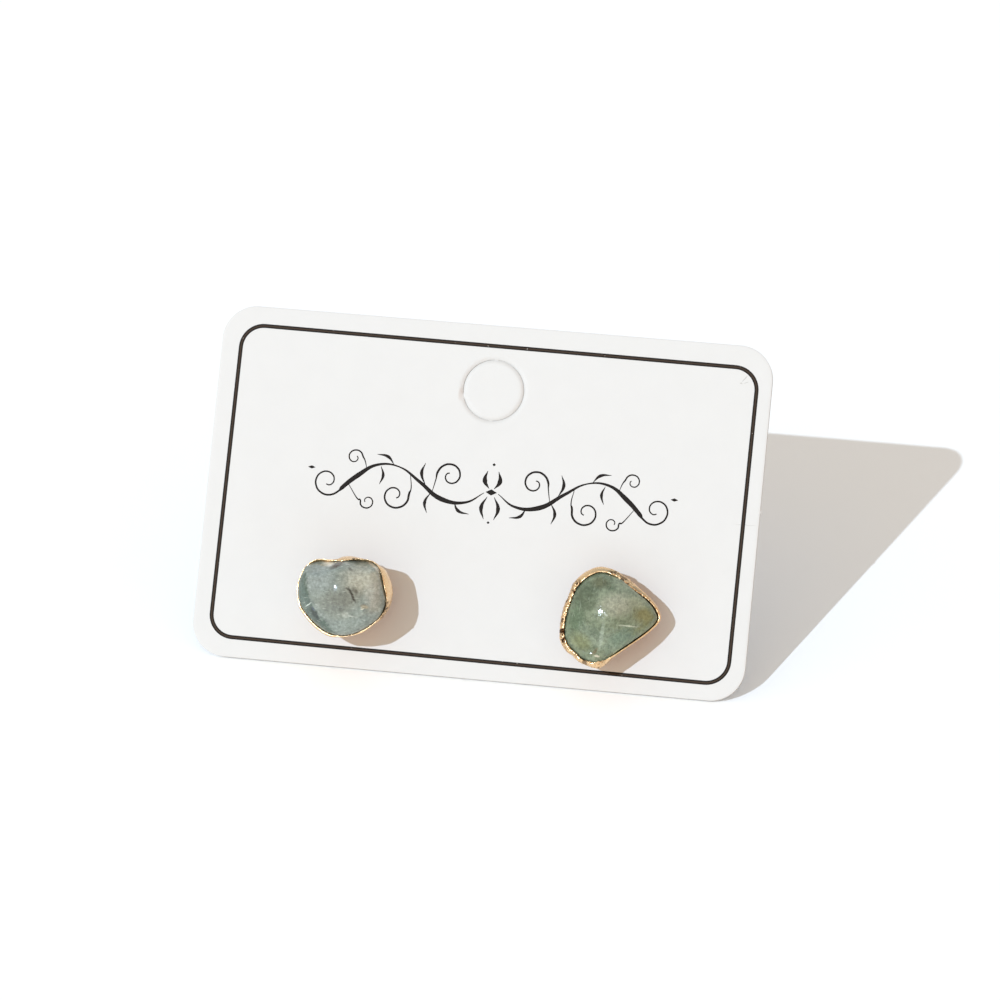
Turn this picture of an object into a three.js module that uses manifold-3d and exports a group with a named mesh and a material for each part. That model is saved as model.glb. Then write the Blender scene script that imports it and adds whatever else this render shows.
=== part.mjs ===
// Pair of raw-stone stud earrings on their display card, standing on a table.
// Millimetres, +Z up, +X to the right, -Y towards the viewer. The card stands on its lower
// edge and leans back on the ends of the two ear posts behind it.
// The origin is under the middle of the whole thing, on the surface it stands on.

import * as THREE from 'three';
import Module from 'manifold-3d';
import { mergeVertices } from 'three/addons/utils/BufferGeometryUtils.js';

const wasm = await Module();
wasm.setup();

// Card: a board with round corners, a hang-hole disc still held by one tie, two post holes.
const CARD_WIDTH = 55;
const CARD_HEIGHT = 35;
const CARD_THICKNESS = 0.5;
const CARD_CORNER_RADIUS = 3.4;
const DISC_DIAMETER = 6.1;
const DISC_CENTRE_HEIGHT = 28.65;
const DISC_CUT_WIDTH = 0.12;
const DISC_TIE_WIDTH = 0.6;
const DISC_TIE_ANGLE = THREE.MathUtils.degToRad(196);
const HOLE_DIAMETER = 1.1;
const HOLE_SPACING = 26.2;
const HOLE_HEIGHT = 6.5;

// Ear post: a straight wire, 8.5 mm of it behind the card, with a chamfered end.
const POST_DIAMETER = 0.8;
const POST_REACH = 8.5;
const POST_END_CHAMFER = 0.1;

// Ear back: one turned piece with a flange towards the card and a tapered barrel.
const BACK_BORE_DIAMETER = 1.0;
const BACK_FLANGE_DIAMETER = 4.8;
const BACK_BARREL_DIAMETER = 3.4;
const BACK_END_DIAMETER = 2.4;
const BACK_LENGTH = 4.2;
const BACK_FLANGE_THICKNESS = 0.5;
const BACK_TAPER_LENGTH = 1.0;

// Clearances between neighbours.
const CARD_GAP = 0.2;
const STONE_GAP = 0.1;

// Gold setting: a cup of this wall that ends in a thin lip at the stone's edge.
const SETTING_WALL = 0.3;
const SETTING_LIP = 0.1;
const SETTING_FLOOR = 0.5;

// Height of the cup's inner floor in front of the card.
const FLOOR_UP = CARD_GAP + SETTING_FLOOR;

// Steps round a stud between two rows of its table, and round the turned pieces.
const STEPS_PER_ROW = 4;
const TURNED_SEGMENTS = 40;
const CARD_CURVE_SEGMENTS = 12;

// The card leans until the shoulders of both post ends touch the surface with its lower edge.
const LEAN = Math.atan2(POST_REACH - POST_END_CHAMFER, HOLE_HEIGHT - POST_DIAMETER / 2);

// Each stud's outline, seen square to the card and turned about the stone's middle.
// angle: degrees from the card's right, anticlockwise. edge: radius of the stone where the
// gold ends on it. rim: radius of the gold at its widest. edgeUp and rimUp: their heights
// in front of the card.
const STUDS = [
  {
    side: 'left',
    postX: -HOLE_SPACING / 2,
    middle: { x: -12.15, y: 6.54 },
    crown: { x: 0.45, y: 1.0, up: 7.0 },
    rows: [
      { angle: 0, edge: 4.65, rim: 5.03, edgeUp: 5.7, rimUp: 4.5 },
      { angle: 18, edge: 4.37, rim: 5.12, edgeUp: 5.8, rimUp: 4.5 },
      { angle: 36, edge: 4.63, rim: 5.11, edgeUp: 5.8, rimUp: 4.6 },
      { angle: 50, edge: 4.74, rim: 4.86, edgeUp: 5.9, rimUp: 4.6 },
      { angle: 68, edge: 4.11, rim: 4.27, edgeUp: 5.6, rimUp: 4.5 },
      { angle: 84, edge: 3.60, rim: 4.12, edgeUp: 5.2, rimUp: 4.5 },
      { angle: 97, edge: 3.47, rim: 3.98, edgeUp: 5.0, rimUp: 4.5 },
      { angle: 112, edge: 3.77, rim: 3.89, edgeUp: 4.8, rimUp: 4.4 },
      { angle: 130, edge: 4.50, rim: 4.62, edgeUp: 4.6, rimUp: 4.3 },
      { angle: 150, edge: 4.63, rim: 4.79, edgeUp: 4.5, rimUp: 4.3 },
      { angle: 172, edge: 4.43, rim: 4.59, edgeUp: 4.4, rimUp: 4.2 },
      { angle: 194, edge: 4.16, rim: 4.32, edgeUp: 4.4, rimUp: 4.2 },
      { angle: 214, edge: 3.74, rim: 4.01, edgeUp: 4.5, rimUp: 4.2 },
      { angle: 234, edge: 3.61, rim: 3.88, edgeUp: 4.6, rimUp: 4.3 },
      { angle: 256, edge: 3.71, rim: 3.93, edgeUp: 4.8, rimUp: 4.4 },
      { angle: 280, edge: 3.82, rim: 3.95, edgeUp: 5.0, rimUp: 4.6 },
      { angle: 304, edge: 3.98, rim: 4.10, edgeUp: 5.3, rimUp: 5.0 },
      { angle: 325, edge: 4.21, rim: 4.33, edgeUp: 5.6, rimUp: 5.0 },
      { angle: 343, edge: 4.59, rim: 4.71, edgeUp: 5.7, rimUp: 4.8 },
    ],
  },
  {
    side: 'right',
    postX: HOLE_SPACING / 2,
    middle: { x: 14.28, y: 7.11 },
    crown: { x: -0.5, y: 0.5, up: 5.4 },
    rows: [
      { angle: 2, edge: 4.63, rim: 4.86, edgeUp: 3.0, rimUp: 2.7 },
      { angle: 14, edge: 4.60, rim: 4.74, edgeUp: 3.1, rimUp: 2.7 },
      { angle: 32, edge: 4.01, rim: 4.24, edgeUp: 3.2, rimUp: 2.8 },
      { angle: 50, edge: 3.57, rim: 4.03, edgeUp: 3.4, rimUp: 2.8 },
      { angle: 70, edge: 3.51, rim: 4.17, edgeUp: 3.6, rimUp: 2.9 },
      { angle: 90, edge: 3.93, rim: 4.52, edgeUp: 3.8, rimUp: 3.0 },
      { angle: 108, edge: 4.36, rim: 5.07, edgeUp: 3.8, rimUp: 3.0 },
      { angle: 126, edge: 4.34, rim: 5.15, edgeUp: 3.9, rimUp: 3.0 },
      { angle: 148, edge: 4.25, rim: 4.92, edgeUp: 3.8, rimUp: 3.1 },
      { angle: 170, edge: 4.13, rim: 4.75, edgeUp: 3.7, rimUp: 3.2 },
      { angle: 192, edge: 4.48, rim: 5.00, edgeUp: 3.8, rimUp: 3.3 },
      { angle: 212, edge: 4.90, rim: 5.52, edgeUp: 3.8, rimUp: 3.4 },
      { angle: 230, edge: 4.95, rim: 5.43, edgeUp: 3.9, rimUp: 3.5 },
      { angle: 250, edge: 4.75, rim: 5.34, edgeUp: 4.1, rimUp: 3.7 },
      { angle: 264, edge: 4.35, rim: 5.15, edgeUp: 4.2, rimUp: 3.8 },
      { angle: 280, edge: 3.81, rim: 4.10, edgeUp: 4.1, rimUp: 3.8 },
      { angle: 300, edge: 3.43, rim: 3.55, edgeUp: 3.9, rimUp: 3.7 },
      { angle: 322, edge: 3.42, rim: 3.57, edgeUp: 3.7, rimUp: 3.5 },
      { angle: 345, edge: 3.94, rim: 4.17, edgeUp: 3.3, rimUp: 3.0 },
    ],
  },
];

// The crown of a stone, as a share of the way from its top to its edge, and how much of its
// height is left there.
const CROWN = [
  { out: 0.3, left: 0.96 },
  { out: 0.55, left: 0.85 },
  { out: 0.75, left: 0.66 },
  { out: 0.9, left: 0.40 },
  { out: 0.97, left: 0.19 },
];

// The belly of a stone or cup, from its flat floor up to the widest line.
const BELLY = [
  { out: 0.45, up: 0 },
  { out: 0.78, up: 0.28 },
  { out: 0.94, up: 0.62 },
];

const MATERIALS = {
  card: { color: 0xf2f2f0, roughness: 0.45, metalness: 0 },
  gold: { color: 0xe0bd86, roughness: 0.25, metalness: 1 },
  stoneLeft: { color: 0x9aaaa4, roughness: 0.2, metalness: 0 },
  stoneRight: { color: 0x8a9c85, roughness: 0.25, metalness: 0 },
};

function mesh(name, geometry, look) {
  const made = new THREE.Mesh(geometry, new THREE.MeshStandardMaterial(look));
  made.name = name;
  return made;
}

// Boolean join of two closed geometries

function solid(geometry) {
  const bare = geometry.clone();
  bare.deleteAttribute('normal');
  bare.deleteAttribute('uv');
  const merged = mergeVertices(bare, 1e-5);
  const vertProperties = new Float32Array(merged.attributes.position.array);
  const triVerts = new Uint32Array(merged.index.array);
  return new wasm.Manifold(new wasm.Mesh({ numProp: 3, vertProperties, triVerts }));
}

function joined(first, second) {
  const result = solid(first).add(solid(second)).getMesh();
  const geometry = new THREE.BufferGeometry();
  geometry.setAttribute('position', new THREE.BufferAttribute(result.vertProperties, 3));
  geometry.setIndex(new THREE.BufferAttribute(result.triVerts, 1));
  geometry.computeVertexNormals();
  return geometry;
}

// The card lies in the XY plane here, its front face at z = 0 and its lower edge at y = 0.

function roundedCardShape() {
  const halfWidth = CARD_WIDTH / 2;
  const radius = CARD_CORNER_RADIUS;
  const left = -halfWidth + radius;
  const right = halfWidth - radius;
  const low = radius;
  const high = CARD_HEIGHT - radius;
  const shape = new THREE.Shape();
  shape.absarc(right, low, radius, -Math.PI / 2, 0, false);
  shape.absarc(right, high, radius, 0, Math.PI / 2, false);
  shape.absarc(left, high, radius, Math.PI / 2, Math.PI, false);
  shape.absarc(left, low, radius, Math.PI, Math.PI * 1.5, false);
  shape.closePath();
  return shape;
}

function postHole(x) {
  const hole = new THREE.Path();
  hole.absarc(x, HOLE_HEIGHT, HOLE_DIAMETER / 2, 0, Math.PI * 2, true);
  return hole;
}

// The cut round the hang-hole disc stops on either side of the tie that still holds it.
function discCut() {
  const outer = DISC_DIAMETER / 2;
  const inner = outer - DISC_CUT_WIDTH;
  const halfTie = DISC_TIE_WIDTH / 2 / outer;
  const from = DISC_TIE_ANGLE + halfTie;
  const to = DISC_TIE_ANGLE - halfTie + Math.PI * 2;
  const cut = new THREE.Path();
  cut.absarc(0, DISC_CENTRE_HEIGHT, outer, from, to, false);
  cut.absarc(0, DISC_CENTRE_HEIGHT, inner, to, from, true);
  cut.closePath();
  return cut;
}

function displayCard() {
  const shape = roundedCardShape();
  shape.holes.push(postHole(-HOLE_SPACING / 2), postHole(HOLE_SPACING / 2), discCut());
  const geometry = new THREE.ExtrudeGeometry(shape, {
    depth: CARD_THICKNESS,
    bevelEnabled: false,
    curveSegments: CARD_CURVE_SEGMENTS,
  });
  geometry.translate(0, 0, -CARD_THICKNESS);
  return mesh('display_card', geometry, MATERIALS.card);
}

// A stud's two outlines as closed curves, and points at even steps along both

function outlinePoint(angle, radius, up) {
  const turn = THREE.MathUtils.degToRad(angle);
  return new THREE.Vector3(radius * Math.cos(turn), radius * Math.sin(turn), up);
}

function outlines(rows) {
  const steps = rows.length * STEPS_PER_ROW;
  const edge = rows.map((row) => outlinePoint(row.angle, row.edge, row.edgeUp));
  const rim = rows.map((row) => outlinePoint(row.angle, row.rim, row.rimUp));
  return {
    steps,
    edge: new THREE.CatmullRomCurve3(edge, true, 'centripetal').getPoints(steps),
    rim: new THREE.CatmullRomCurve3(rim, true, 'centripetal').getPoints(steps),
  };
}

// A point on an outline drawn in by some millimetres, scaled, and set at its own height
function drawnIn(point, inset, scale, up) {
  const factor = scale * (1 - inset / Math.hypot(point.x, point.y));
  return new THREE.Vector3(point.x * factor, point.y * factor, up);
}

// A turned body whose rings follow the outlines: ring functions take a step round the stud
// and give a point, from the middle of the underside out, up and back to the middle.
function bodyOfRings(steps, rings) {
  const profile = rings.map((_, level) => new THREE.Vector2(1, level));
  profile[0].x = 0;
  profile[rings.length - 1].x = 0;
  const geometry = new THREE.LatheGeometry(profile, steps);
  const position = geometry.attributes.position;
  for (let step = 0; step <= steps; step += 1) {
    rings.forEach((ring, level) => {
      const point = ring(step % steps);
      position.setXYZ(step * rings.length + level, point.x, point.y, point.z);
    });
  }
  geometry.computeVertexNormals();
  return geometry;
}

// Rings up the belly, from a floor at this height, drawn in and lifted clear of a neighbour
function bellyRings(rim, inset, clearance, floor) {
  return BELLY.map((row) => (step) => {
    const up = THREE.MathUtils.lerp(floor, rim[step].z, row.up);
    const point = drawnIn(rim[step], inset, row.out, up);
    return drawnIn(point, clearance, 1, up + clearance);
  });
}

function stoneGeometry(stud) {
  const { steps, edge, rim } = outlines(stud.rows);
  const top = new THREE.Vector3(stud.crown.x, stud.crown.y, stud.crown.up);
  const crownRings = CROWN.map((row) => (step) => {
    const foot = drawnIn(edge[step], STONE_GAP, 1, edge[step].z);
    const point = top.clone().lerp(foot, row.out);
    point.z = THREE.MathUtils.lerp(foot.z, top.z, row.left);
    return point;
  });
  return bodyOfRings(steps, [
    () => new THREE.Vector3(0, 0, FLOOR_UP + STONE_GAP),
    ...bellyRings(rim, SETTING_WALL, STONE_GAP, FLOOR_UP),
    (step) => drawnIn(rim[step], SETTING_WALL + STONE_GAP, 1, rim[step].z),
    (step) => drawnIn(edge[step], STONE_GAP, 1, edge[step].z),
    ...crownRings.reverse(),
    () => top,
  ]);
}

function cupGeometry(stud) {
  const { steps, edge, rim } = outlines(stud.rows);
  return bodyOfRings(steps, [
    () => new THREE.Vector3(0, 0, CARD_GAP),
    ...bellyRings(rim, 0, 0, CARD_GAP),
    (step) => rim[step],
    (step) => drawnIn(edge[step], -SETTING_LIP, 1, edge[step].z),
    (step) => edge[step],
    (step) => drawnIn(rim[step], SETTING_WALL, 1, rim[step].z),
    ...bellyRings(rim, SETTING_WALL, 0, FLOOR_UP).reverse(),
    () => new THREE.Vector3(0, 0, FLOOR_UP),
  ]);
}

function postGeometry() {
  const radius = POST_DIAMETER / 2;
  const end = -CARD_THICKNESS - POST_REACH;
  const top = CARD_GAP + SETTING_FLOOR / 2;
  const profile = [
    new THREE.Vector2(0, end),
    new THREE.Vector2(radius - POST_END_CHAMFER, end),
    new THREE.Vector2(radius, end + POST_END_CHAMFER),
    new THREE.Vector2(radius, top),
    new THREE.Vector2(0, top),
  ];
  return new THREE.LatheGeometry(profile, TURNED_SEGMENTS).rotateX(Math.PI / 2);
}

function setting(stud) {
  const post = postGeometry();
  post.translate(stud.postX - stud.middle.x, HOLE_HEIGHT - stud.middle.y, 0);
  const geometry = joined(cupGeometry(stud), post);
  return mesh(`setting_${stud.side}`, geometry, MATERIALS.gold);
}

function stone(stud) {
  const look = stud.side === 'left' ? MATERIALS.stoneLeft : MATERIALS.stoneRight;
  return mesh(`stone_${stud.side}`, stoneGeometry(stud), look);
}

// The ear back is turned about the post, its flange a small gap behind the card.
function earBack(stud) {
  const bore = BACK_BORE_DIAMETER / 2;
  const near = -CARD_THICKNESS - CARD_GAP;
  const far = near - BACK_LENGTH;
  const flangeEnd = near - BACK_FLANGE_THICKNESS;
  const profile = [
    new THREE.Vector2(bore, far),
    new THREE.Vector2(BACK_END_DIAMETER / 2, far),
    new THREE.Vector2(BACK_BARREL_DIAMETER / 2, far + BACK_TAPER_LENGTH),
    new THREE.Vector2(BACK_BARREL_DIAMETER / 2, flangeEnd),
    new THREE.Vector2(BACK_FLANGE_DIAMETER / 2, flangeEnd),
    new THREE.Vector2(BACK_FLANGE_DIAMETER / 2, near),
    new THREE.Vector2(bore, near),
    new THREE.Vector2(bore, far),
  ];
  const geometry = new THREE.LatheGeometry(profile, TURNED_SEGMENTS).rotateX(Math.PI / 2);
  geometry.translate(stud.postX, HOLE_HEIGHT, 0);
  return mesh(`ear_back_${stud.side}`, geometry, MATERIALS.gold);
}

function studGroup(stud) {
  const group = new THREE.Group();
  group.position.set(stud.middle.x, stud.middle.y, 0);
  group.add(stone(stud), setting(stud));
  return group;
}

// The leaning frame: x across the card, y up it, z out of its front face
const leaning = new THREE.Group();
leaning.add(displayCard());
for (const stud of STUDS) {
  leaning.add(studGroup(stud), earBack(stud));
}
leaning.rotation.x = LEAN;
leaning.position.z = CARD_THICKNESS * Math.cos(LEAN);

// The whole thing is moved so that its box is centred on the origin, on the surface.
const part = new THREE.Group();
part.add(leaning);
part.updateMatrixWorld(true);
const middle = new THREE.Box3().setFromObject(part, true).getCenter(new THREE.Vector3());
leaning.position.x -= middle.x;
leaning.position.y -= middle.y;
part.updateMatrixWorld(true);

export default part;
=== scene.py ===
import math

import bmesh
import bpy
from mathutils import Matrix, Vector, noise
from mathutils.bvhtree import BVHTree


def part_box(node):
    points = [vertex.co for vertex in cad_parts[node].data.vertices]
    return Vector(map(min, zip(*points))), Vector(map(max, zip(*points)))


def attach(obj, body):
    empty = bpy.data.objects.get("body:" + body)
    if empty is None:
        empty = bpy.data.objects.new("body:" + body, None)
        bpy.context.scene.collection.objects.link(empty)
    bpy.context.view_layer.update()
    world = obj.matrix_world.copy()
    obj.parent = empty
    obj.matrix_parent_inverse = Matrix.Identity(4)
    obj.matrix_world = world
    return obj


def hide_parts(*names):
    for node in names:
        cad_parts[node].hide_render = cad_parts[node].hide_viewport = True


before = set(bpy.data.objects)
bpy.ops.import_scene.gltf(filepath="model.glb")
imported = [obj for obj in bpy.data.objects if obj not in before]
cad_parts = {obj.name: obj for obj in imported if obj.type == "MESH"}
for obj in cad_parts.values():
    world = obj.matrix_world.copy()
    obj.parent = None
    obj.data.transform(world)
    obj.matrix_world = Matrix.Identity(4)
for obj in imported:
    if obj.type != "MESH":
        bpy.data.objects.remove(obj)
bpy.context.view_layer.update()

# Pair of raw-stone stud earrings with gold rims, pushed through a small white display card.
# The card stands on its lower edge and leans back on the ends of the two ear posts.
# Shapes are worked in millimetres on the card: x across it, y up it, z out of its front face.

MM = 0.001
# The post ends touch the surface this far behind the card and this far up from its foot.
POST_END_BEHIND = 8.4
POST_END_UP = 6.1
LEAN = math.atan2(POST_END_BEHIND, POST_END_UP)
CARD_WIDTH = 55.0
CARD_HEIGHT = 35.0
CARD_THICKNESS = 0.5
CARD_CORNER = 3.4
CARD_FOOT = Vector((0.0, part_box("display_card")[0].y, CARD_THICKNESS * MM * math.cos(LEAN)))
CARD_TO_ROW = Matrix.Translation(CARD_FOOT) @ Matrix.Rotation(LEAN, 4, "X") @ Matrix.Scale(MM, 4)

DISC_CENTRE = Vector((0.12, 28.57, 0.0))
DISC_TIE_ANGLE = math.radians(196)
DISC_TIE_HALF = math.radians(6)
HOLE_HEIGHT = 6.5
POST_X = {"left": -13.1, "right": 13.1}
STUD_MIDDLE = {"left": Vector((-12.15, 6.54, 0.0)), "right": Vector((14.28, 7.11, 0.0))}


# Camera at the photograph's angle

CAMERA_TARGET = Vector((1.921, 10.0, 14.983)) * MM + Vector((0.0, CARD_FOOT.y, 0.0))
CAMERA_AZIMUTH = math.radians(9.6486)
CAMERA_ELEVATION = math.radians(30.4799)
CAMERA_DISTANCE = 502.42 * MM
CAMERA_LENS = 184.17


def add_camera():
    towards = Vector((
        math.sin(CAMERA_AZIMUTH) * math.cos(CAMERA_ELEVATION),
        -math.cos(CAMERA_AZIMUTH) * math.cos(CAMERA_ELEVATION),
        math.sin(CAMERA_ELEVATION),
    ))
    camera = bpy.data.objects.new("camera", bpy.data.cameras.new("camera"))
    camera.data.sensor_width = 36.0
    camera.data.lens = CAMERA_LENS
    camera.data.clip_start = 0.02
    camera.data.clip_end = 20.0
    camera.location = CAMERA_TARGET + towards * CAMERA_DISTANCE
    camera.rotation_euler = (-towards).to_track_quat("-Z", "Y").to_euler()
    bpy.context.scene.collection.objects.link(camera)
    bpy.context.scene.camera = camera


# Materials

# Noise scales are in features per millimetre, from the size of each feature on the real thing.
# A pixel of the render is 0.07 mm wide, and what is finer is drawn just coarse enough to show.
BOARD_MOTTLE = 0.35  # the clay coat is uneven over about 3 mm
BOARD_GRAIN = 9.0  # clay grain of under 0.01 mm, drawn as 0.11 mm
CORE_FIBRES = 6.0  # pulp fibres about 0.03 mm wide, drawn as 0.17 mm
INK_MISSES = 3.2  # pin-prick misses in the film, at least 0.3 mm apart
GOLD_CRUMBS = 2.0  # rough grains of plating, 0.5 mm across, with finer ones on them
GOLD_POLISH = 1.2  # hand polish, uneven over about 0.8 mm
STONE_MOTTLE = 0.9  # milky patches of about 1.1 mm
STONE_GRAINS = 3.2  # quartz grains of about 0.3 mm
STONE_RIPPLES = 3.2  # the tumbled skin is rippled over about 0.3 mm
SHEET_MOTTLE = 40.0  # this one is per metre: the sheet is faintly uneven over 25 mm

# How the edges of marks waver: the noise scale, and by how many millimetres.
SCUFF_WAVER = (3.0, 0.12)
PATCH_WAVER = (1.1, 0.5)
CLOUD_WAVER = (1.6, 0.35)
MARK_WAVER = (3.5, 0.10)
STREAK_WAVER = (0.8, 0.25)


def linear(hex_colour):
    """An sRGB hex colour as linear red, green, blue and alpha."""
    shares = [int(hex_colour[i:i + 2], 16) / 255 for i in (1, 3, 5)]
    return [s / 12.92 if s <= 0.04045 else ((s + 0.055) / 1.055) ** 2.4 for s in shares] + [1.0]


def add(tree, kind, settings=None, values=None, links=None):
    """Adds a node, sets its properties and values, and joins its inputs to other nodes."""
    node = tree.nodes.new(kind)
    for name, value in (settings or {}).items():
        setattr(node, name, value)
    for socket, value in (values or {}).items():
        node.inputs[socket].default_value = value
    for socket, source in (links or {}).items():
        tree.links.new(source, node.inputs[socket])
    return node


def new_material(name):
    material = bpy.data.materials.new(name)
    material.use_nodes = True
    return material, material.node_tree, material.node_tree.nodes["Principled BSDF"]


def on_card(tree, origin=(0.0, 0.0, 0.0)):
    """Object coordinates as millimetres on the card, measured from origin."""
    foot = Matrix.Rotation(-LEAN, 3, "X") @ (CARD_FOOT / MM)
    source = add(tree, "ShaderNodeTexCoord")
    mapping = add(
        tree, "ShaderNodeMapping",
        values={
            "Location": -foot - Vector(origin),
            "Rotation": (-LEAN, 0.0, 0.0),
            "Scale": (1 / MM, 1 / MM, 1 / MM),
        },
        links={"Vector": source.outputs["Object"]},
    )
    return mapping.outputs["Vector"]


def wavering(tree, place, scale, reach):
    """A place moved about by noise of this scale per millimetre, by up to reach millimetres."""
    wander = add(tree, "ShaderNodeTexNoise", values={"Scale": scale, "Detail": 3.0},
                 links={"Vector": place})
    centred = add(tree, "ShaderNodeVectorMath", {"operation": "SUBTRACT"}, {1: (0.5, 0.5, 0.5)},
                  {0: wander.outputs["Color"]})
    moved = add(tree, "ShaderNodeVectorMath", {"operation": "MULTIPLY_ADD"},
                {1: (2 * reach, 2 * reach, 2 * reach)}, {0: centred.outputs[0], 2: place})
    return moved.outputs[0]


# How far out a cloud of colour starts and where it is whole, as shares of its half sizes.
SOFT = (1.3, 0.3)
OUTSIDE = (0.97, 1.03)
# A cloud's half size out of the card, which takes it right through the piece.
RIGHT_THROUGH = 1000.0


def clouded(tree, place, colour, clouds):
    """Lays clouds of colour over another. A cloud is its middle x and y, half length, half
    width, turn in degrees, hex colour, strength and, unless it is soft, its edge."""
    for x, y, length, width, turn, hex_colour, strength, *edge in clouds:
        start, whole = edge[0] if edge else SOFT
        local = add(
            tree, "ShaderNodeMapping", {"vector_type": "TEXTURE"},
            {"Location": (x, y, 0.0), "Rotation": (0.0, 0.0, math.radians(turn)),
             "Scale": (length, width, RIGHT_THROUGH)},
            {"Vector": place},
        )
        out = add(tree, "ShaderNodeVectorMath", {"operation": "LENGTH"},
                  links={0: local.outputs["Vector"]})
        share = add(
            tree, "ShaderNodeMapRange", {"interpolation_type": "SMOOTHSTEP"},
            {"From Min": start, "From Max": whole, "To Max": strength},
            {"Value": out.outputs["Value"]},
        )
        mix = add(tree, "ShaderNodeMix", {"data_type": "RGBA"}, {7: linear(hex_colour)},
                  {0: share.outputs["Result"], 6: colour})
        colour = mix.outputs[2]
    return colour


def coated_board():
    """Coated white card board, die cut: a smooth satin clay face, faintly mottled, with a
    few scuffs and a warm thumb mark by the hang hole."""
    material, tree, shader = new_material("coated_white_board")
    place = on_card(tree)
    mottle = add(tree, "ShaderNodeTexNoise", values={"Scale": BOARD_MOTTLE, "Detail": 4.0},
                 links={"Vector": place})
    base = add(tree, "ShaderNodeMix", {"data_type": "RGBA"},
               {6: linear("#CDCCCA"), 7: linear("#D1D0CE")}, {0: mottle.outputs["Fac"]})
    colour = clouded(tree, wavering(tree, place, *SCUFF_WAVER), base.outputs[2], [
        (-3.1, 27.95, 0.28, 0.7, 0.0, "#BFB4AD", 0.6),
        (24.75, 31.75, 0.45, 0.05, 55.0, "#9F9C97", 0.8),
        (24.95, 31.35, 0.30, 0.04, 20.0, "#A5A29D", 0.7),
        (24.45, 31.25, 0.12, 0.06, 0.0, "#A3A09B", 0.7),
        (26.15, 17.43, 1.25, 0.035, 0.0, "#ADABA7", 0.6),
    ])
    tree.links.new(colour, shader.inputs["Base Color"])
    grain = add(tree, "ShaderNodeTexNoise", values={"Scale": BOARD_GRAIN, "Detail": 3.0},
                links={"Vector": place})
    gloss = add(tree, "ShaderNodeMapRange", values={"To Min": 0.52, "To Max": 0.66},
                links={"Value": grain.outputs["Fac"]})
    tree.links.new(gloss.outputs["Result"], shader.inputs["Roughness"])
    bump = add(tree, "ShaderNodeBump", values={"Strength": 0.25, "Distance": 0.004 * MM},
               links={"Height": grain.outputs["Fac"]})
    tree.links.new(bump.outputs["Normal"], shader.inputs["Normal"])
    shader.inputs["IOR"].default_value = 1.5
    return material


def board_core():
    """Grey board core: matt, fibrous pulp that shows where the board was cut."""
    material, tree, shader = new_material("grey_board_core")
    place = on_card(tree)
    fibres = add(tree, "ShaderNodeTexNoise", values={"Scale": CORE_FIBRES, "Detail": 4.0},
                 links={"Vector": place})
    colour = add(tree, "ShaderNodeMix", {"data_type": "RGBA"},
                 {6: linear("#B5B2AC"), 7: linear("#D2CFC9")}, {0: fibres.outputs["Fac"]})
    tree.links.new(colour.outputs[2], shader.inputs["Base Color"])
    shader.inputs["Roughness"].default_value = 0.9
    return material


def printing_ink(name, hex_colour):
    """Offset printing ink: a thin satin film, nearly black brown, with pin-prick misses where
    the white of the board shows through."""
    material, tree, shader = new_material(name)
    place = on_card(tree)
    misses = add(tree, "ShaderNodeTexNoise", values={"Scale": INK_MISSES, "Detail": 4.0},
                 links={"Vector": place})
    missed = add(tree, "ShaderNodeMapRange", values={"From Min": 0.70, "From Max": 0.76},
                 links={"Value": misses.outputs["Fac"]})
    colour = add(tree, "ShaderNodeMix", {"data_type": "RGBA"},
                 {6: linear(hex_colour), 7: linear("#B9B4AC")}, {0: missed.outputs["Result"]})
    tree.links.new(colour.outputs[2], shader.inputs["Base Color"])
    shader.inputs["Roughness"].default_value = 0.7
    shader.inputs["Specular IOR Level"].default_value = 0.25
    return material


# How far out of the card, in millimetres, the plating is thin and where it is whole.
PLATING_THIN = 0.8
PLATING_WHOLE = 3.2


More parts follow.
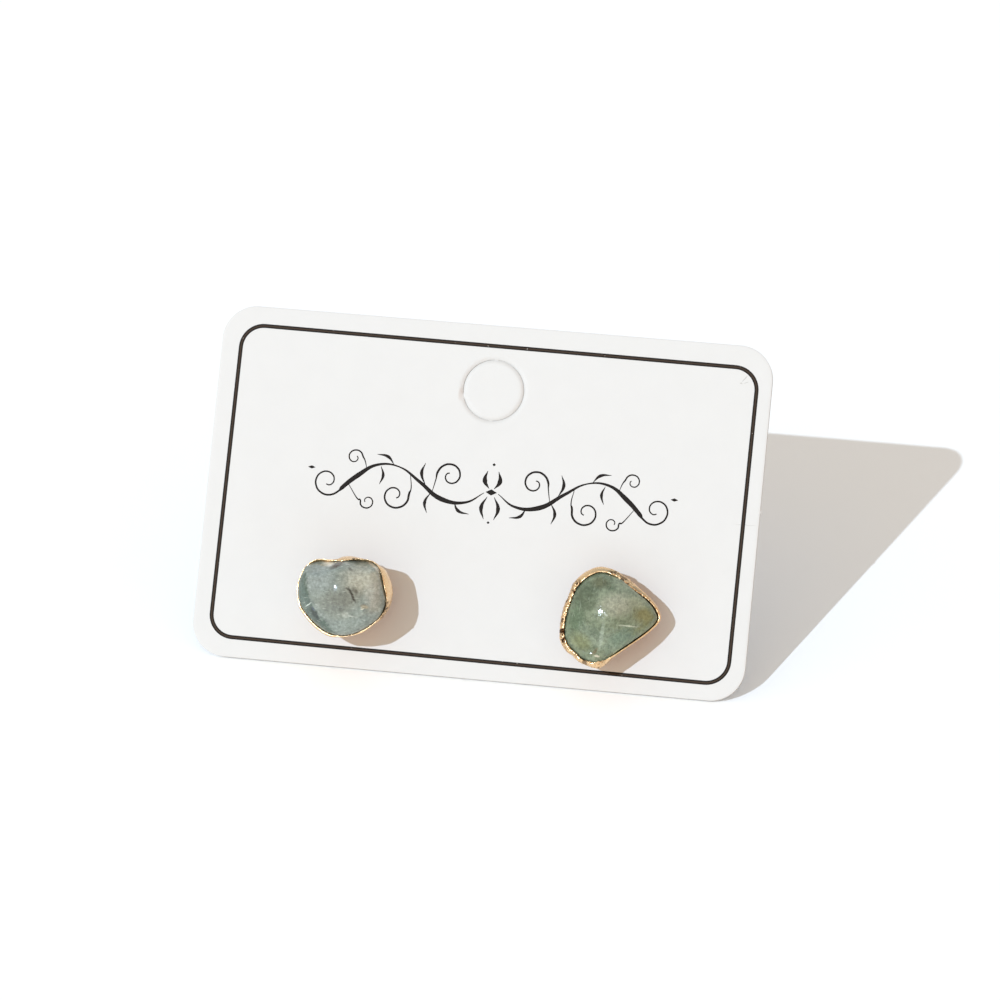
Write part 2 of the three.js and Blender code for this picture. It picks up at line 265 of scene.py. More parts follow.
def plated_gold(name, low_tone, low_roughness):
    """Gold plated metal: warm pale, softly polished, with another tone and roughness low on
    the setting where the plating is thin. The rough stretches of its lip break up into pits
    between bright grains, and shade is painted dark brown into the pits and along the seam by
    the stone."""
    material, tree, shader = new_material(name)
    place = on_card(tree)
    height = add(tree, "ShaderNodeSeparateXYZ", links={0: place})
    low = add(tree, "ShaderNodeMapRange",
              values={"From Min": PLATING_THIN, "From Max": PLATING_WHOLE},
              links={"Value": height.outputs["Z"]})
    tone = add(tree, "ShaderNodeMix", {"data_type": "RGBA"},
               {6: linear(low_tone), 7: linear("#F1CFA2")}, {0: low.outputs["Result"]})
    crumbs = add(tree, "ShaderNodeTexNoise", values={"Scale": GOLD_CRUMBS, "Detail": 2.5},
                 links={"Vector": place})
    rough = add(tree, "ShaderNodeAttribute", {"attribute_name": "crumbly"})
    # Painted shade: the pits between crumbs, and the seam by the stone, are mixed towards dark
    # brown.
    pits = add(tree, "ShaderNodeMapRange", values={"From Min": 0.50, "From Max": 0.55},
               links={"Value": crumbs.outputs["Fac"]})
    pitted = add(tree, "ShaderNodeMath", {"operation": "MULTIPLY"},
                 links={0: pits.outputs["Result"], 1: rough.outputs["Fac"]})
    seam = add(tree, "ShaderNodeAttribute", {"attribute_name": "crevice_shade"})
    dark = add(tree, "ShaderNodeMath", {"operation": "MAXIMUM"},
               links={0: pitted.outputs["Value"], 1: seam.outputs["Fac"]})
    colour = add(tree, "ShaderNodeMix", {"data_type": "RGBA"}, {7: linear("#3A2110")},
                 {0: dark.outputs["Value"], 6: tone.outputs[2]})
    tree.links.new(colour.outputs[2], shader.inputs["Base Color"])
    shader.inputs["Metallic"].default_value = 1.0
    grain = add(tree, "ShaderNodeTexNoise", values={"Scale": GOLD_POLISH, "Detail": 4.0},
                links={"Vector": place})
    gloss = add(tree, "ShaderNodeMapRange", values={"To Min": 0.20, "To Max": 0.34},
                links={"Value": grain.outputs["Fac"]})
    matt = add(tree, "ShaderNodeMix", values={2: low_roughness},
               links={0: low.outputs["Result"], 3: gloss.outputs["Result"]})
    tree.links.new(matt.outputs[0], shader.inputs["Roughness"])
    polish = add(tree, "ShaderNodeBump", values={"Strength": 0.6, "Distance": 0.10 * MM},
                 links={"Height": grain.outputs["Fac"]})
    broken = add(tree, "ShaderNodeBump", {"invert": True}, {"Distance": 0.2 * MM},
                 {"Height": crumbs.outputs["Fac"], "Strength": rough.outputs["Fac"],
                  "Normal": polish.outputs["Normal"]})
    tree.links.new(broken.outputs["Normal"], shader.inputs["Normal"])
    return material


# Clouds are placed at this height out of the card. Their coordinates shift from there by the
# grain's lean for each millimetre out.
SHOULDER = {"left": 5.6, "right": 4.6}
GRAIN_LEAN = (-0.146, 0.09, 0.0)


def raw_stone(name, side, tones, clouds, marks, streaks, roughness, ripple):
    """Tumbled stone, milky and translucent: light goes a little way in, soft clouds and darker
    depths show through, fine grains speckle it, and the polish leaves a highlight, broken up
    where the surface ripples. The clouds run back through the stone along its grain, which
    leans. A streak is its stretch, its turn in degrees, the noise where it starts and where it
    is whole, its hex colour and its strength."""
    material, tree, shader = new_material(name)
    upright = on_card(tree, STUD_MIDDLE[side])
    height = add(tree, "ShaderNodeSeparateXYZ", links={0: upright})
    above = add(tree, "ShaderNodeMath", {"operation": "SUBTRACT"}, {1: SHOULDER[side]},
                {0: height.outputs["Z"]})
    lean = add(tree, "ShaderNodeVectorMath", {"operation": "SCALE"}, {0: GRAIN_LEAN},
               {3: above.outputs["Value"]})
    along_grain = add(tree, "ShaderNodeVectorMath", {"operation": "ADD"},
                      links={0: upright, 1: lean.outputs[0]})
    place = along_grain.outputs[0]
    mottle = add(tree, "ShaderNodeTexNoise",
                 values={"Scale": STONE_MOTTLE, "Detail": 6.0, "Roughness": 0.62},
                 links={"Vector": wavering(tree, place, *PATCH_WAVER)})
    spread = add(tree, "ShaderNodeMapRange", values={"From Min": 0.3, "From Max": 0.7},
                 links={"Value": mottle.outputs["Fac"]})
    base = add(tree, "ShaderNodeMix", {"data_type": "RGBA"},
               {6: linear(tones[0]), 7: linear(tones[1])}, {0: spread.outputs["Result"]})
    colour = clouded(tree, wavering(tree, place, *CLOUD_WAVER), base.outputs[2], clouds)
    colour = clouded(tree, wavering(tree, place, *MARK_WAVER), colour, marks)
    for stretch, turn, low, high, hex_colour, strength in streaks:
        drawn = add(tree, "ShaderNodeMapping",
                    values={"Scale": stretch, "Rotation": (0.0, 0.0, math.radians(turn))},
                    links={"Vector": wavering(tree, place, *STREAK_WAVER)})
        thread = add(tree, "ShaderNodeTexNoise", values={"Scale": 1.0, "Detail": 3.0},
                     links={"Vector": drawn.outputs["Vector"]})
        share = add(tree, "ShaderNodeMapRange",
                    values={"From Min": low, "From Max": high, "To Max": strength},
                    links={"Value": thread.outputs["Fac"]})
        mixed = add(tree, "ShaderNodeMix", {"data_type": "RGBA"}, {7: linear(hex_colour)},
                    {0: share.outputs["Result"], 6: colour})
        colour = mixed.outputs[2]
    grains = add(tree, "ShaderNodeTexNoise",
                 values={"Scale": STONE_GRAINS, "Detail": 5.0, "Roughness": 0.72},
                 links={"Vector": place})
    paleness = add(tree, "ShaderNodeMapRange",
                   values={"From Min": 0.33, "From Max": 0.67, "To Min": 0.68, "To Max": 1.32},
                   links={"Value": grains.outputs["Fac"]})
    speckled = add(tree, "ShaderNodeVectorMath", {"operation": "SCALE"},
                   links={0: colour, 3: paleness.outputs["Result"]})
    tree.links.new(speckled.outputs[0], shader.inputs["Base Color"])
    shader.inputs["Subsurface Weight"].default_value = 0.3
    shader.inputs["Subsurface Radius"].default_value = (1.0, 1.0, 1.0)
    shader.inputs["Subsurface Scale"].default_value = 0.25 * MM
    shader.inputs["Roughness"].default_value = roughness
    shader.inputs["IOR"].default_value = 1.54
    waves = add(tree, "ShaderNodeTexNoise", values={"Scale": STONE_RIPPLES, "Detail": 1.0},
                links={"Vector": place})
    bump = add(tree, "ShaderNodeBump", values={"Strength": 1.0, "Distance": ripple * MM},
               links={"Height": waves.outputs["Fac"]})
    tree.links.new(bump.outputs["Normal"], shader.inputs["Normal"])
    return material


def table_top():
    """Matt white paper under the card: no gloss, and very faintly uneven."""
    material, tree, shader = new_material("matt_white_paper")
    source = add(tree, "ShaderNodeTexCoord")
    mottle = add(tree, "ShaderNodeTexNoise", values={"Scale": SHEET_MOTTLE, "Detail": 2.0},
                 links={"Vector": source.outputs["Object"]})
    colour = add(tree, "ShaderNodeMix", {"data_type": "RGBA"},
                 {6: linear("#FCFCFB"), 7: linear("#FEFEFE")}, {0: mottle.outputs["Fac"]})
    tree.links.new(colour.outputs[2], shader.inputs["Base Color"])
    shader.inputs["Roughness"].default_value = 0.9
    shader.inputs["Specular IOR Level"].default_value = 0.0
    return material


# Making and placing pieces

def piece(bm, name, place, materials, sharp=None):
    """Turns a bmesh in millimetres into a finished piece on the card. Edges are shaded smooth,
    or crisp past an angle of sharp degrees."""
    bmesh.ops.transform(bm, matrix=place, verts=bm.verts)
    data = bpy.data.meshes.new(name)
    bm.to_mesh(data)
    bm.free()
    data.shade_smooth()
    if sharp is not None:
        data.set_sharp_from_angle(angle=math.radians(sharp))
    for material in materials:
        data.materials.append(material)
    made = bpy.data.objects.new(name, data)
    bpy.context.scene.collection.objects.link(made)
    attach(made, "root")
    return made


def rounded_sheet(bm, width, height, corner, segments):
    """A flat face with round corners, its middle on the origin."""
    verts = bmesh.ops.create_grid(bm, x_segments=1, y_segments=1, size=0.5)["verts"]
    bmesh.ops.scale(bm, vec=(width, height, 1.0), verts=verts)
    bmesh.ops.bevel(bm, geom=verts, offset=corner, affect="VERTICES", segments=segments,
                    profile=0.5, material=-1)
    return bm.faces[:]


def next_ring(bm, edges, centre, factor, height):
    """Carries a round edge loop on to another radius and height."""
    grown = bmesh.ops.extrude_edge_only(bm, edges=edges)["geom"]
    verts = [g for g in grown if isinstance(g, bmesh.types.BMVert)]
    bmesh.ops.scale(bm, vec=(factor, factor, 1.0), verts=verts,
                    space=Matrix.Translation(-centre))
    for vert in verts:
        vert.co.z = height
    return [g for g in grown if isinstance(g, bmesh.types.BMEdge) and set(g.verts) <= set(verts)]


def ring_of(bm, centre, radius, segments):
    verts = bmesh.ops.create_circle(bm, cap_ends=False, radius=radius, segments=segments,
                                    matrix=Matrix.Translation(centre))["verts"]
    return list({edge for vert in verts for edge in vert.link_edges})


def rings_inwards(bm, centre, rings, segments):
    """Faces between rings one inside the other, each a radius and a height. Gives the edges of
    the first ring and of the last."""
    outer = ring_of(bm, centre, rings[0][0], segments)
    loop = outer
    for (radius, _), (next_radius, height) in zip(rings, rings[1:]):
        loop = next_ring(bm, loop, centre, next_radius / radius, height)
    return outer, loop


def closed(bm, merge=0.001):
    """Merges doubles and turns every face outwards."""
    bmesh.ops.remove_doubles(bm, verts=bm.verts, dist=merge)
    bmesh.ops.recalc_face_normals(bm, faces=bm.faces)


# Display card

# The cut edge rounds into the face in insets, each a width and a rise, from this far below it.
CUT_EDGE = [(0.0067, 0.025), (0.0183, 0.0183), (0.025, 0.0067)]
CUT_EDGE_DROP = 0.05
CARD_RIM = 0.25
# A face with less of its normal than this out of the card is a cut one, and shows the core.
CORE_SHOWS = 0.4
DISC_RINGS = [(3.60, 0.0), (3.50, 0.0), (3.38, -0.007), (3.25, -0.034), (3.13, -0.09),
              (3.045, -0.16), (3.035, -0.235), (2.995, -0.235), (2.985, -0.16), (2.90, -0.09),
              (2.78, -0.034), (2.65, -0.007), (2.53, 0.0), (2.40, 0.0)]
DISC_TIE_DEPTH = 0.25
POST_HOLE_RINGS = [(1.0, 0.0), (0.66, 0.0), (0.55, -0.05)]
# Each torn speck of fibre: where on the edge, the way the edge runs, and the way out.
TORN_NUBS = [
    ((-12.97, 0.0, 0.0), (1.0, 0.0, 0.0), (0.0, -1.0, 0.0)),
    ((0.13, 0.0, 0.0), (1.0, 0.0, 0.0), (0.0, -1.0, 0.0)),
    ((CARD_WIDTH / 2, 18.79, 0.0), (0.0, 1.0, 0.0), (1.0, 0.0, 0.0)),
]
# Half a speck's length, its place in the board's thickness, how far it stands out and narrows,
# and how far past the rim the faces that are cut for it may reach.
NUB_HALF = 0.16
NUB_TOP = -0.04
NUB_BOTTOM = -0.26
NUB_STANDS = 0.11
NUB_TAPER = 0.55
NUB_RIM_SPARE = 0.06


def disc_relief(bm):
    """Rings over the pressed shoulders and narrow groove of the hang-hole cut, which is
    shallow at the tie that still holds the disc."""
    outer, inner = rings_inwards(bm, DISC_CENTRE, DISC_RINGS, segments=96)
    bmesh.ops.contextual_create(bm, geom=inner)
    for vert in bm.verts:
        spoke = vert.co - DISC_CENTRE
        away = (math.atan2(spoke.y, spoke.x) - DISC_TIE_ANGLE + math.pi) % math.tau - math.pi
        if spoke.xy.length < DISC_RINGS[0][0] and abs(away) < DISC_TIE_HALF:
            vert.co.z *= DISC_TIE_DEPTH
    return outer


def torn_nub(bm, where, along, out):
    """A speck of torn fibre on the card's edge, where the die left it tied to its sheet."""
    reach = CARD_RIM + NUB_RIM_SPARE
    for side in (-NUB_HALF, NUB_HALF):
        rim = [face for face in bm.faces
               if all((where - vert.co).dot(out) < reach for vert in face.verts)]
        edges = {edge for face in rim for edge in face.edges}
        verts = {vert for face in rim for vert in face.verts}
        bmesh.ops.bisect_plane(bm, geom=rim + list(edges) + list(verts), dist=0.0001,
                               plane_co=where + along * side, plane_no=along)
    faces = []
    for face in bm.faces:
        middle = face.calc_center_median()
        near = abs((middle - where).dot(along)) < NUB_HALF
        if near and face.normal.dot(out) > 0.9 and NUB_BOTTOM < middle.z < NUB_TOP:
            faces.append(face)
    edges = {edge for face in faces for edge in face.edges}
    corners = {vert for face in faces for vert in face.verts}
    region = faces + list(edges) + list(corners)
    grown = bmesh.ops.extrude_face_region(bm, geom=region)["geom"]
    verts = [g for g in grown if isinstance(g, bmesh.types.BMVert)]
    middle = sum((vert.co for vert in verts), Vector()) / len(verts)
    bmesh.ops.scale(bm, vec=(NUB_TAPER, NUB_TAPER, NUB_TAPER), verts=verts,
                    space=Matrix.Translation(-middle))
    bmesh.ops.translate(bm, vec=out * NUB_STANDS, verts=verts)


def display_card(board, core):
    """The die-cut card with its hang-hole cut, post holes and torn specks. The front half is
    made first, then mirrored to the back."""
    bm = bmesh.new()
    face = rounded_sheet(bm, CARD_WIDTH, CARD_HEIGHT, CARD_CORNER, segments=16)
    bmesh.ops.translate(bm, vec=(0.0, CARD_HEIGHT / 2, -CUT_EDGE_DROP), verts=bm.verts)
    for thickness, depth in CUT_EDGE:
        bmesh.ops.inset_region(bm, faces=face, thickness=thickness, depth=depth,
                               use_boundary=True, use_even_offset=True)
    bmesh.ops.inset_region(bm, faces=face, thickness=CARD_RIM, depth=0.0, use_boundary=True,
                           use_even_offset=True)
    flat_edges = list(face[0].edges)
    bmesh.ops.delete(bm, geom=face, context="FACES_ONLY")
    flat_edges += disc_relief(bm)
    for x in POST_X.values():
        centre = Vector((x, HOLE_HEIGHT, 0.0))
        flat_edges += rings_inwards(bm, centre, POST_HOLE_RINGS, segments=40)[0]
    bmesh.ops.triangle_fill(bm, use_beauty=True, use_dissolve=False, edges=flat_edges)
    rims = [edge for edge in bm.edges if edge.is_boundary]
    grown = bmesh.ops.extrude_edge_only(bm, edges=rims)["geom"]
    for g in grown:
        if isinstance(g, bmesh.types.BMVert):
            g.co.z = -CARD_THICKNESS / 2
    bmesh.ops.translate(bm, vec=(0.0, 0.0, CARD_THICKNESS / 2), verts=bm.verts)
    bmesh.ops.mirror(bm, geom=bm.verts[:] + bm.edges[:] + bm.faces[:], merge_dist=0.0001,
                     matrix=Matrix(), axis="Z")
    bmesh.ops.translate(bm, vec=(0.0, 0.0, -CARD_THICKNESS / 2), verts=bm.verts)
    closed(bm)
    for where, along, out in TORN_NUBS:
        torn_nub(bm, Vector(where), Vector(along), Vector(out))
    for face in bm.faces:
        if abs(face.normal.z) < CORE_SHOWS:
            face.material_index = 1
    made = piece(bm, "card_with_hang_hole", CARD_TO_ROW, [board, core], sharp=42)
    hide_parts("display_card")


# Printed border and scroll

# The film stands a hair over the board, so that the two never share a surface.
INK_HEIGHT = 0.012
INK_GAP = 0.002
PRINT_TURN = math.radians(-0.32)
BORDER_WIDTH = 51.58
BORDER_HEIGHT = 31.11
BORDER_CENTRE = Vector((0.158, 17.40, 0.0))
BORDER_CORNER = 2.25
BORDER_STRIPS = [0.13, 0.14, 0.13]
BORDER_PLACE = Matrix.Translation(BORDER_CENTRE) @ Matrix.Rotation(PRINT_TURN, 4, "Z")


def printed_border(ink, brown_middle_ink):
    """A round-cornered line of three strips, of which the middle one is browner."""
    bm = bmesh.new()
    line = sum(BORDER_STRIPS)
    inner = rounded_sheet(bm, BORDER_WIDTH + line, BORDER_HEIGHT + line,
                          BORDER_CORNER + line / 2, segments=14)
    for strip in BORDER_STRIPS:
        made = bmesh.ops.inset_region(bm, faces=inner, thickness=strip, depth=0.0,
                                      use_boundary=True, use_even_offset=True)["faces"]
        for face in made:
            face.material_index = 1 if strip == BORDER_STRIPS[1] else 0
    bmesh.ops.delete(bm, geom=inner, context="FACES")
    grown = bmesh.ops.extrude_face_region(bm, geom=bm.faces[:], use_keep_orig=True)["geom"]
    bmesh.ops.translate(bm, vec=(0.0, 0.0, INK_HEIGHT),
                        verts=[g for g in grown if isinstance(g, bmesh.types.BMVert)])
    closed(bm)
    place = CARD_TO_ROW @ BORDER_PLACE @ Matrix.Translation((0.0, 0.0, INK_GAP))
    piece(bm, "printed_border", place, [ink, brown_middle_ink], sharp=42)


def curl(x, y, start_radius, end_radius, start, turn, wide, thin, count):
    """Points of a spiral about x, y: radii and half widths in millimetres, angles in degrees."""
    points = []
    for i in range(count):
        share = i / (count - 1)
        angle = math.radians(start + turn * share)
        radius = start_radius + (end_radius - start_radius) * share
        width = wide + (thin - wide) * share
        points.append((x + radius * math.cos(angle), y + radius * math.sin(angle), width))
    return points


# Strokes of the right half about the scroll's middle, as points of x, y and half width.
SCROLL_STROKES = [
    [(0.7, -0.1, 0.03), (2.4, -1.2, 0.12), (4.9, -1.1, 0.24), (7.2, 0.4, 0.16),
     (9.4, 1.7, 0.07), (11.6, 1.7, 0.13), (13.4, 0.5, 0.24), (14.9, -0.9, 0.20)]
    + curl(16.4, -0.3, 1.55, 0.35, 215, 430, 0.10, 0.06, 12),
    [(5.9, -0.6, 0.03), (5.6, 0.9, 0.06)] + curl(4.2, 1.25, 1.35, 0.3, 10, 420, 0.11, 0.06, 12),
    [(8.2, 1.1, 0.03), (8.0, -0.5, 0.06)]
    + curl(9.55, -1.15, 1.5, 0.32, 165, 430, 0.11, 0.06, 12),
    [(12.6, 1.25, 0.03), (12.9, 2.1, 0.06)]
    + curl(13.9, 2.25, 0.85, 0.25, 175, -390, 0.08, 0.05, 10),
    [(14.3, -0.4, 0.03), (13.1, -1.9, 0.07)]
    + curl(12.2, -2.0, 0.8, 0.25, 10, -390, 0.08, 0.05, 10),
    [(6.6, 0.1, 0.02), (7.1, 1.3, 0.17), (6.8, 2.3, 0.02)],
    [(9.9, 1.85, 0.02), (10.6, 2.6, 0.16), (11.7, 2.75, 0.02)],
    [(11.2, 1.6, 0.02), (10.9, 0.7, 0.15), (11.2, -0.2, 0.02)],
    [(3.6, -1.25, 0.02), (3.1, -2.1, 0.16), (2.0, -2.35, 0.02)],
    [(6.0, -0.55, 0.02), (6.5, -1.6, 0.16), (6.2, -2.6, 0.02)],
    [(0.25, 0.35, 0.02), (0.75, 1.1, 0.24), (0.55, 2.1, 0.02)],
    [(0.35, -0.45, 0.02), (0.85, -1.6, 0.20), (0.5, -2.7, 0.02)],
    [(17.75, 0.9, 0.02), (18.1, 0.9, 0.16), (18.45, 0.9, 0.02)],
]
SCROLL_MIDDLE_STROKES = [
    [(-0.55, 0.0, 0.02), (0.0, 0.0, 0.30), (0.55, 0.0, 0.02)],
    [(-0.16, 2.75, 0.02), (0.0, 2.75, 0.16), (0.16, 2.75, 0.02)],
    [(-0.14, -3.0, 0.02), (0.0, -3.0, 0.14), (0.14, -3.0, 0.02)],
]
SCROLL_CENTRE = Vector((0.9, 18.48, 0.0))
SCROLL_FLATNESS = 0.05


def printed_scroll(ink):
    """Pen-stroke scroll in the middle of the card, the same to the left and right."""
    drawing = bpy.data.curves.new("scroll", "CURVE")
    drawing.dimensions = "3D"
    drawing.bevel_depth = 1.0
    drawing.bevel_resolution = 1
    drawing.resolution_u = 6
    drawing.use_fill_caps = True
    mirrored = [[(-x, y, width) for x, y, width in stroke] for stroke in SCROLL_STROKES]
    for stroke in SCROLL_STROKES + mirrored + SCROLL_MIDDLE_STROKES:
        spline = drawing.splines.new("BEZIER")
        spline.bezier_points.add(len(stroke) - 1)
        for point, (x, y, width) in zip(spline.bezier_points, stroke):
            point.co = (x, y, 0.0)
            point.radius = width
            point.handle_left_type = "AUTO"
            point.handle_right_type = "AUTO"
    holder = bpy.data.objects.new("scroll", drawing)
    bpy.context.scene.collection.objects.link(holder)
    bm = bmesh.new()
    bm.from_mesh(holder.to_mesh())
    holder.to_mesh_clear()
    bpy.data.objects.remove(holder)
    bpy.data.curves.remove(drawing)
    bmesh.ops.scale(bm, vec=(1.0, 1.0, SCROLL_FLATNESS), verts=bm.verts)
    closed(bm, 0.0001)
    place = (CARD_TO_ROW @ Matrix.Translation(SCROLL_CENTRE)
             @ Matrix.Rotation(PRINT_TURN, 4, "Z") @ Matrix.Translation((0.0, 0.0, INK_GAP)))
    piece(bm, "printed_scroll", place, [ink])


# Studs

# Levels of rounding before a skin is made, and the size of its faces.
ROUNDING = 2
STONE_GRAIN = 0.09
SETTING_GRAIN = 0.063
# A stone is grown into the gap to its setting, and smoothed this often after its facets are
# cut. Its dome is as high as the stone stands within this reach of the dome's middle.
STONE_GROWTH = 0.055
STONE_WEAR = 14
SUMMIT_REACH = 0.3
# The cup is cut off flat at its back pad, and its lip starts this high.
CUP_BACK = 0.205
LIP_START = 2.2
DENT_DEPTH = 0.05
DENT_SCALE = 0.7
# The painted shade in the seam between lip and stone comes and goes by noise of this scale about
# this level.
SEAM_WIDTH = 0.16
SEAM_LEVEL = 0.6
SEAM_SWING = 0.9
SEAM_SCALE = 1.3
# How far from the stone a swell is whole, and how far a fill reaches.
SWELL_GAP = 0.3
FILL_GAP = 0.3
# Crumbs lie within this drop of the rim. They mix two sizes of nugget about a level, and shade
# is painted into the pits below a nugget's edge.
CRUMB_DROP = 0.9
COARSE_SHARE = 0.65
FINE_SHARE = 0.35
CRUMB_LEVEL = 0.4
PIT_START = 1.1
PIT_FALL = 2.2
NUGGET_EDGE = 1.5
RIM_STEPS = 72
# Degrees over which a stretch of the rim fades out at each end.
STRETCH_END = 6.0


def stud_to_row(side):
    return CARD_TO_ROW @ Matrix.Translation(STUD_MIDDLE[side])


def cad_copy(node, side):
    """A merged copy of a CAD node, in millimetres about the stud's middle."""
    bm = bmesh.new()
    bm.from_mesh(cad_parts[node].data)
    bmesh.ops.transform(bm, matrix=stud_to_row(side).inverted(), verts=bm.verts)
    bmesh.ops.remove_doubles(bm, verts=bm.verts, dist=0.002)
    bm.normal_update()
    return bm


def with_quads(bm):
    """The same mesh with its loose triangles joined in pairs, which round more evenly."""
    bmesh.ops.join_triangles(bm, faces=bm.faces, angle_face_threshold=math.pi,
                             angle_shape_threshold=math.pi)
    return bm


def skinned(bm, grain):
    """One closed skin of even small faces round everything in bm, rounded first."""
    data = bpy.data.meshes.new("skin")
    bm.to_mesh(data)
    bm.free()
    holder = bpy.data.objects.new("skin", data)
    bpy.context.scene.collection.objects.link(holder)
    rounded = holder.modifiers.new("rounded", "SUBSURF")
    rounded.levels = ROUNDING
    rounded.render_levels = ROUNDING
    remesh = holder.modifiers.new("skin", "REMESH")
    remesh.mode = "VOXEL"
    remesh.voxel_size = grain
    skin = bmesh.new()
    skin.from_object(holder, bpy.context.evaluated_depsgraph_get())
    bpy.data.objects.remove(holder)
    bpy.data.meshes.remove(data)
    return skin


def smoothed(bm, times, factor=0.5):
    for _ in range(times):
        bmesh.ops.smooth_vert(bm, verts=bm.verts, factor=factor, use_axis_x=True,
                              use_axis_y=True, use_axis_z=True)


def inside(angle, start, end):
    """1 well inside a stretch of the rim and 0 outside it, with soft ends."""
    off = abs((angle - (start + end) / 2 + 180) % 360 - 180)
    return min(1.0, max(0.0, ((end - start) / 2 - off) / STRETCH_END + 0.5))


def rub_dome(bm, x, y, radius_x, radius_y, reach):
    """Rubs the top of a stone to an even dome about x, y, fading out at reach."""
    middle = Vector((x, y))
    top = max(vert.co.z for vert in bm.verts if (vert.co.xy - middle).length < SUMMIT_REACH)
    for vert in bm.verts:
        along = vert.co.x - x
        up = vert.co.y - y
        share = min(1.0, 2.0 - 2.0 * math.hypot(along, up) / reach)
        if share > 0 and vert.co.z > 0.5 * top:
            dome = top - along ** 2 / (2 * radius_x) - up ** 2 / (2 * radius_y)
            vert.co.z += share ** 2 * (3.0 - 2.0 * share) * (dome - vert.co.z)


def stone(side, facets, dome, dents, growth, material):
    """A stone cut by soft facets, rubbed to a dome on top and gently dented. A facet is a point
    on it, the way it faces in degrees round the stud, its tilt and how much of what stands
    proud goes. The dome is its middle, its two radii and its reach, and dents are a noise scale
    and a depth. Growth is where the stone fills its lip more, from one angle to another, and by
    how much."""
    bm = skinned(with_quads(cad_copy(f"stone_{side}", side)), STONE_GRAIN)
    bm.normal_update()
    for vert in bm.verts:
        angle = math.degrees(math.atan2(vert.co.y, vert.co.x))
        grown = STONE_GROWTH + sum(inside(angle, start, end) * extra
                                   for start, end, extra in growth)
        vert.co += vert.normal * grown
    for x, y, z, facing, tilt, share in facets:
        out = math.sin(math.radians(tilt))
        normal = Vector((out * math.cos(math.radians(facing)),
                         out * math.sin(math.radians(facing)), math.cos(math.radians(tilt))))
        level = normal.dot(Vector((x, y, z)))
        for vert in bm.verts:
            proud = normal.dot(vert.co) - level
            if proud > 0:
                vert.co -= normal * proud * share
    smoothed(bm, STONE_WEAR)
    rub_dome(bm, *dome)
    bm.normal_update()
    for vert in bm.verts:
        stands = sum(depth * noise.noise(vert.co * scale) for scale, depth in dents)
        vert.co += vert.normal * stands
    smoothed(bm, 1)
    closed(bm)
    made = piece(bm, f"raw_stone_{side}", stud_to_row(side), [material])
    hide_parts(f"stone_{side}")


def nugget(point, size):
    """How high this point of a crumbly surface stands: 0 in a crevice, 1 on a nugget."""
    near, second = noise.voronoi(point / size)[0][:2]
    return math.sqrt(min(1.0, (second - near) * NUGGET_EDGE))


def rim_heights(bm):
    """How high a cup reaches in each of the equal steps round it."""
    heights = [0.0] * RIM_STEPS
    for vert in bm.verts:
        step = rim_step(vert.co)
        heights[step] = max(heights[step], vert.co.z)
    return heights


def rim_step(at):
    return int(math.atan2(at.y, at.x) / math.tau * RIM_STEPS) % RIM_STEPS


def setting(side, seam_shade, swells, fills, crumbly, materials):
    """The gold grown round a stone, with its post: a dented cup whose lip swells out and is
    crumbly along some stretches, and a plain turned post behind. A swell is where it starts
    and ends in degrees, how far out it stands and how high up it stops; a fill is where it
    starts and ends and how far it creeps in over the stone; a crumbly stretch is its start and
    end, the size of its nuggets, their height, how far out they reach and how dark the shade
    painted into their pits is. The seam shade is how dark the shade painted along the seam by
    the stone is."""
    stone_skin = cad_copy(f"stone_{side}", side)
    stone_tree = BVHTree.FromBMesh(stone_skin)
    stone_skin.free()
    bm = skinned(with_quads(cad_copy(f"setting_{side}", side)), SETTING_GRAIN)
    smoothed(bm, 3)
    cut = bmesh.ops.bisect_plane(bm, geom=bm.verts[:] + bm.edges[:] + bm.faces[:], dist=0.0001,
                                 plane_co=(0.0, 0.0, CUP_BACK), plane_no=(0.0, 0.0, 1.0),
                                 clear_inner=True)["geom_cut"]
    bmesh.ops.holes_fill(bm, edges=[g for g in cut if isinstance(g, bmesh.types.BMEdge)])
    bm.normal_update()
    rims = rim_heights(bm)
    crevice_shade = bm.verts.layers.float.new("crevice_shade")
    roughened = bm.verts.layers.float.new("crumbly")
    for vert in bm.verts:
        at = vert.co.copy()
        angle = math.degrees(math.atan2(at.y, at.x))
        gap = stone_tree.find_nearest(at)[3]
        rise = DENT_DEPTH * noise.noise(at * DENT_SCALE)
        lip = min(1.0, max(0.0, at.z - LIP_START))
        outwards = at.xy.normalized().to_3d()
        for start, end, out, top in swells:
            stands = out * lip * min(1.0, gap / SWELL_GAP) * min(1.0, max(0.0, top - at.z))
            vert.co += outwards * stands * inside(angle, start, end)
        for start, end, creep in fills:
            creeps = creep * lip * max(0.0, 1.0 - gap / FILL_GAP)
            vert.co -= outwards * creeps * inside(angle, start, end)
        # Painted shade along the seam between lip and stone, darkest close to the stone.
        seam = seam_shade * (SEAM_LEVEL + SEAM_SWING * noise.noise(at * SEAM_SCALE))
        vert[crevice_shade] = lip * min(1.0, max(0.0, seam)) * max(0.0, 1.0 - gap / SEAM_WIDTH)
        for start, end, size, height, reach, pit_shade in crumbly:
            share = inside(angle, start, end) * min(1.0, max(0.0, 1.5 - 1.5 * gap / reach))
            share *= min(1.0, max(0.0, 1.5 - (rims[rim_step(at)] - at.z) / CRUMB_DROP))
            if share > 0:
                stands = COARSE_SHARE * nugget(at, size) + FINE_SHARE * nugget(at, size / 2)
                rise += share * height * (stands - CRUMB_LEVEL)
                # Painted shade in the pit below a nugget's edge.
                pit = share * pit_shade * (PIT_START - PIT_FALL * stands)
                vert[crevice_shade] = min(1.0, max(vert[crevice_shade], pit))
                vert[roughened] = max(vert[roughened], share * pit_shade)
        vert.co += vert.normal * rise
    smoothed(bm, 1, 0.3)
    closed(bm)
    add_post(bm, Vector((POST_X[side], HOLE_HEIGHT, 0.0)) - STUD_MIDDLE[side])
    made = piece(bm, f"gold_setting_{side}", stud_to_row(side), materials)
    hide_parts(f"setting_{side}")


